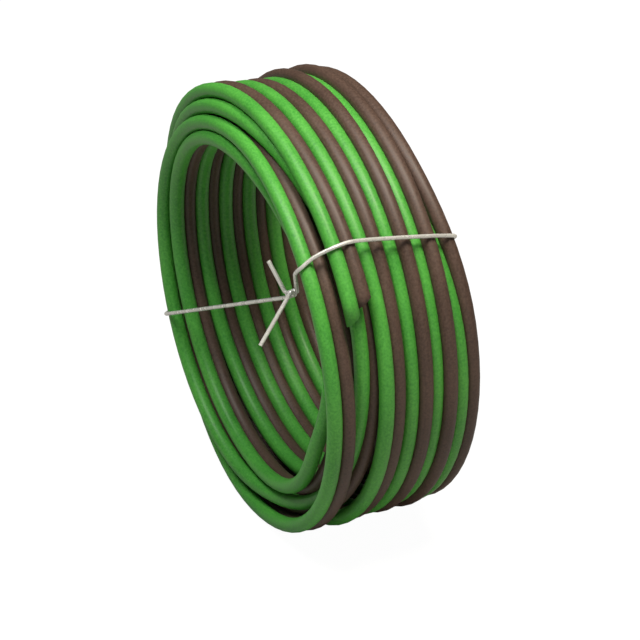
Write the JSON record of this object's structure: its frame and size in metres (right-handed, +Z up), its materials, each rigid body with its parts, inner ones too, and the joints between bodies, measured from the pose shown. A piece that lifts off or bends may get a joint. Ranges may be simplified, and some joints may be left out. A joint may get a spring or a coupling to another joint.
{
  "type": "soaker hose coil",
  "caption": "Coil of twin hose, a green and a brown tube wound side by side in layers, standing on its rim and held by one twisted tie wire.",
  "frame": {"origin": "on the floor, under the middle of the part's box", "axes": "+X along the coil's axis, away from the face that the tie wire is twisted on; +Z up, away from the rim that the coil stands on; the cut outer ends are on the -Y side"},
  "size_m": [0.0992, 0.1822, 0.1837],
  "materials": {
    "green_tube": "soft satin extruded plastic, faintly mottled",
    "brown_tube": "soft satin extruded plastic, faintly mottled",
    "wire": "bright galvanised"
  },
  "bodies": {
    "root": {"green_hose": "green_tube", "brown_hose": "brown_tube", "green_outer_end": "green_tube", "brown_outer_end": "brown_tube", "green_inner_end": "green_tube", "brown_inner_end": "brown_tube", "tie_wire": "wire"}
  },
  "joints": []
}
